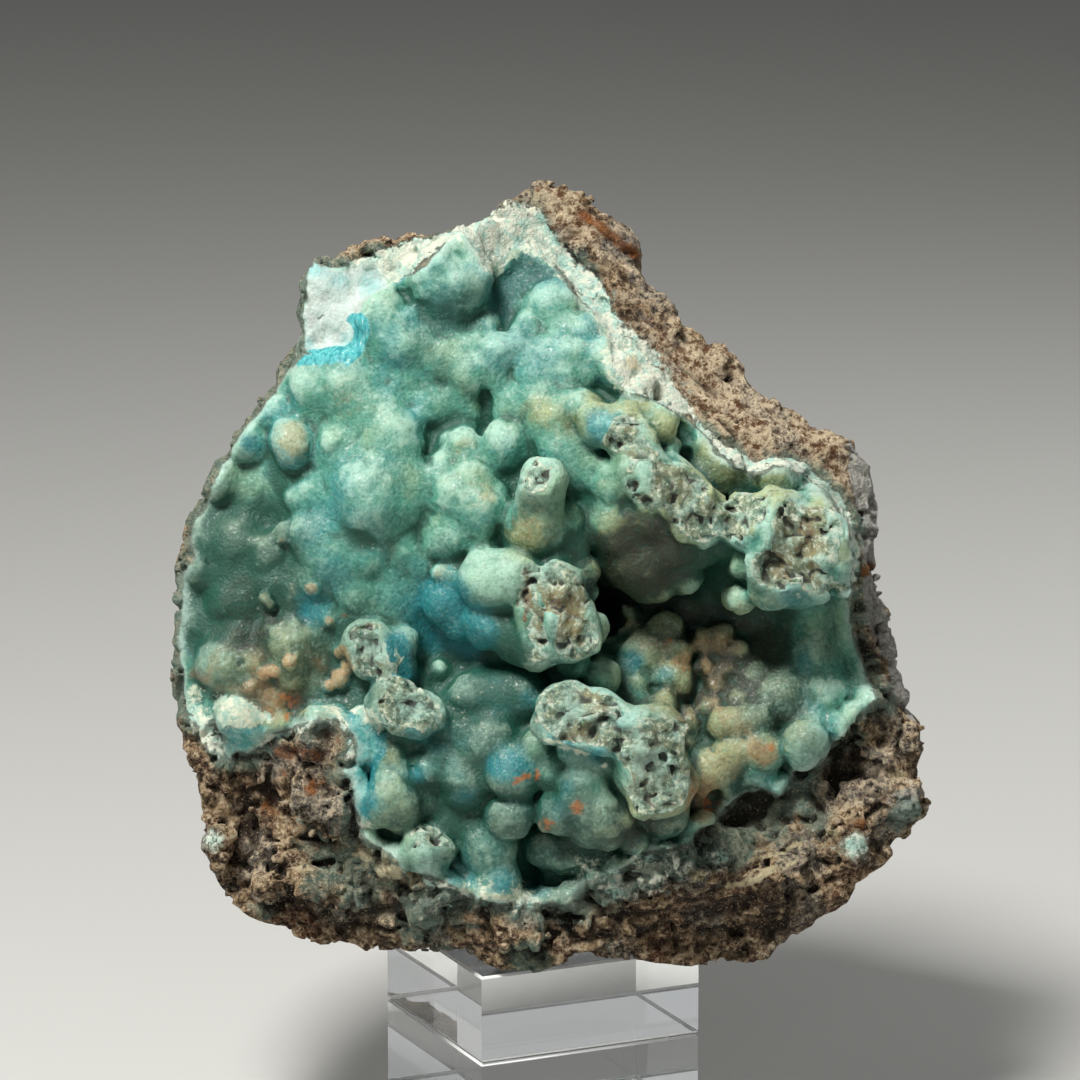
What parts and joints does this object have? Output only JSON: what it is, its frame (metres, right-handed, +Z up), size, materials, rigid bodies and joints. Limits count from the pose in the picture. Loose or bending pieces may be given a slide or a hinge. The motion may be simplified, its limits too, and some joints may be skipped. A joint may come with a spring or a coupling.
{
  "type": "hemimorphite specimen on a display stand",
  "caption": "Botryoidal blue-green hemimorphite crust on brown porous rock, resting on a stack of clear square display blocks.",
  "frame": {"origin": "centre of the lower block's underside, where the stand rests", "axes": "+Z up, -Y the way the crust faces, +X to the right seen from the front"},
  "size_m": [0.1241, 0.0768, 0.1563],
  "materials": {
    "hemimorphite": "waxy botryoidal crust with a fine sparkle, on rough brown porous rock",
    "clear_acrylic": "polished and see-through, with bright edges"
  },
  "bodies": {
    "root": {"specimen": "hemimorphite", "stand_block_upper": "clear_acrylic", "stand_block_lower": "clear_acrylic"}
  },
  "joints": []
}
